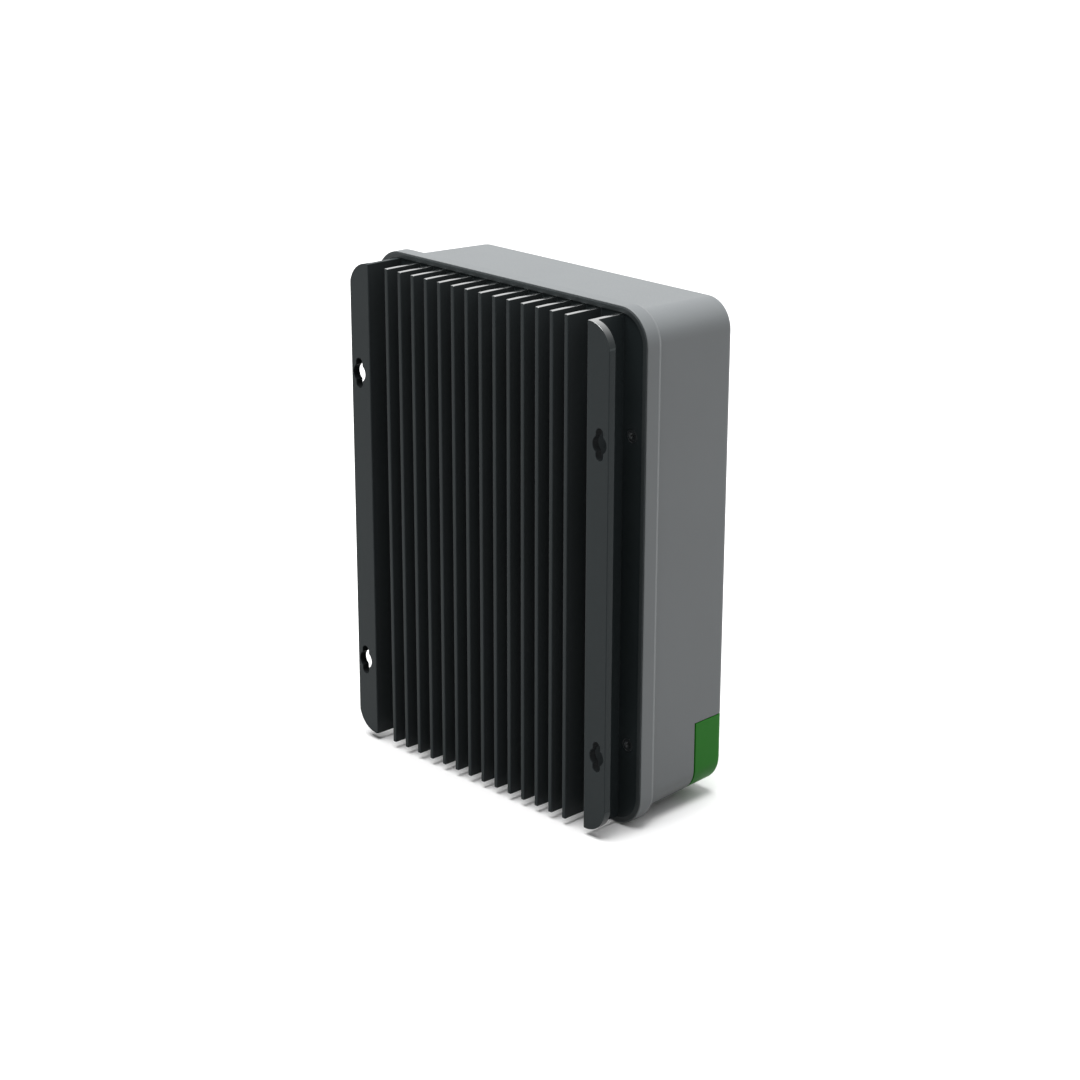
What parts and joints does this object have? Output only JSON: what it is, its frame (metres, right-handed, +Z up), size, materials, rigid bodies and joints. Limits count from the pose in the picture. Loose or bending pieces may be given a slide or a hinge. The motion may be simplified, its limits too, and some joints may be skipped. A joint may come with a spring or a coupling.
{
  "type": "solar charge controller",
  "caption": "Wall-mounted solar charge controller with a finned black heatsink, keyhole mounting flanges, a grey housing and a green terminal cover.",
  "frame": {"origin": "centre of the four keyholes, in the plane of the flange faces that lie on the wall", "axes": "X across the unit, +Y into the wall, so the front faces -Y, +Z up"},
  "size_m": [0.176, 0.0778, 0.238],
  "materials": {
    "black_anodised_aluminium": "semi-gloss black anodised extrusion",
    "grey_plastic": "fine-grained moulded grey plastic",
    "green_plastic": "satin moulded green plastic",
    "seal_rubber": "matte black rubber",
    "pad_rubber": "grey silicone pad",
    "zinc_steel": "bright zinc",
    "dark_steel": "black zinc",
    "board_laminate": "green solder mask",
    "brass": "turned brass",
    "black_nylon": "moulded black nylon",
    "clamp_metal": "tin-plated metal",
    "component_black": "black epoxy",
    "coil_copper": "enamelled copper over a ferrite core",
    "capacitor_sleeve": "dark blue sleeve",
    "key_plastic": "satin dark grey",
    "display_glass": "grey-green display, switched off",
    "window_clear": "clear window",
    "light_clear": "milky light pipe"
  },
  "bodies": {
    "controller": {"heatsink": "black_anodised_aluminium", "housing": "grey_plastic", "seal": "seal_rubber", "terminal_cover": "green_plastic", "cover_screws": "zinc_steel", "housing_screws": "dark_steel", "main_board": "board_laminate", "board_spacers": "brass", "board_screws": "zinc_steel", "insulating_pad": "pad_rubber", "terminal_block": "black_nylon", "terminal_screws": "zinc_steel", "data_socket": "black_nylon", "sensor_socket": "green_plastic", "display_board": "board_laminate", "display_screws": "zinc_steel", "display_panel": "display_glass", "display_window": "window_clear", "terminal_clamp_1": "clamp_metal", "terminal_clamp_2": "clamp_metal", "terminal_clamp_3": "clamp_metal", "terminal_clamp_4": "clamp_metal", "terminal_clamp_5": "clamp_metal", "terminal_clamp_6": "clamp_metal", "transistor_1": "component_black", "transistor_2": "component_black", "transistor_3": "component_black", "transistor_4": "component_black", "transistor_5": "component_black", "transistor_6": "component_black", "inductor_1": "coil_copper", "inductor_2": "coil_copper", "capacitor_1": "capacitor_sleeve", "capacitor_2": "capacitor_sleeve", "capacitor_3": "capacitor_sleeve", "capacitor_4": "capacitor_sleeve", "switch_1": "black_nylon", "switch_2": "black_nylon", "switch_3": "black_nylon", "switch_4": "black_nylon", "light_pipe_1": "light_clear", "light_pipe_2": "light_clear", "light_pipe_3": "light_clear"},
    "key_body_1": {"key_1": "key_plastic", "plunger_1": "black_nylon"},
    "key_body_2": {"key_2": "key_plastic", "plunger_2": "black_nylon"},
    "key_body_3": {"key_3": "key_plastic", "plunger_3": "black_nylon"},
    "key_body_4": {"key_4": "key_plastic", "plunger_4": "black_nylon"}
  },
  "joints": [
    {"name": "key_1_press", "type": "slide", "parent": "controller", "child": "key_body_1", "axis": [0, 1, 0], "range_m": [0, 0.0005], "stiffness_N_per_m": 600},
    {"name": "key_2_press", "type": "slide", "parent": "controller", "child": "key_body_2", "axis": [0, 1, 0], "range_m": [0, 0.0005], "stiffness_N_per_m": 600},
    {"name": "key_3_press", "type": "slide", "parent": "controller", "child": "key_body_3", "axis": [0, 1, 0], "range_m": [0, 0.0005], "stiffness_N_per_m": 600},
    {"name": "key_4_press", "type": "slide", "parent": "controller", "child": "key_body_4", "axis": [0, 1, 0], "range_m": [0, 0.0005], "stiffness_N_per_m": 600}
  ]
}
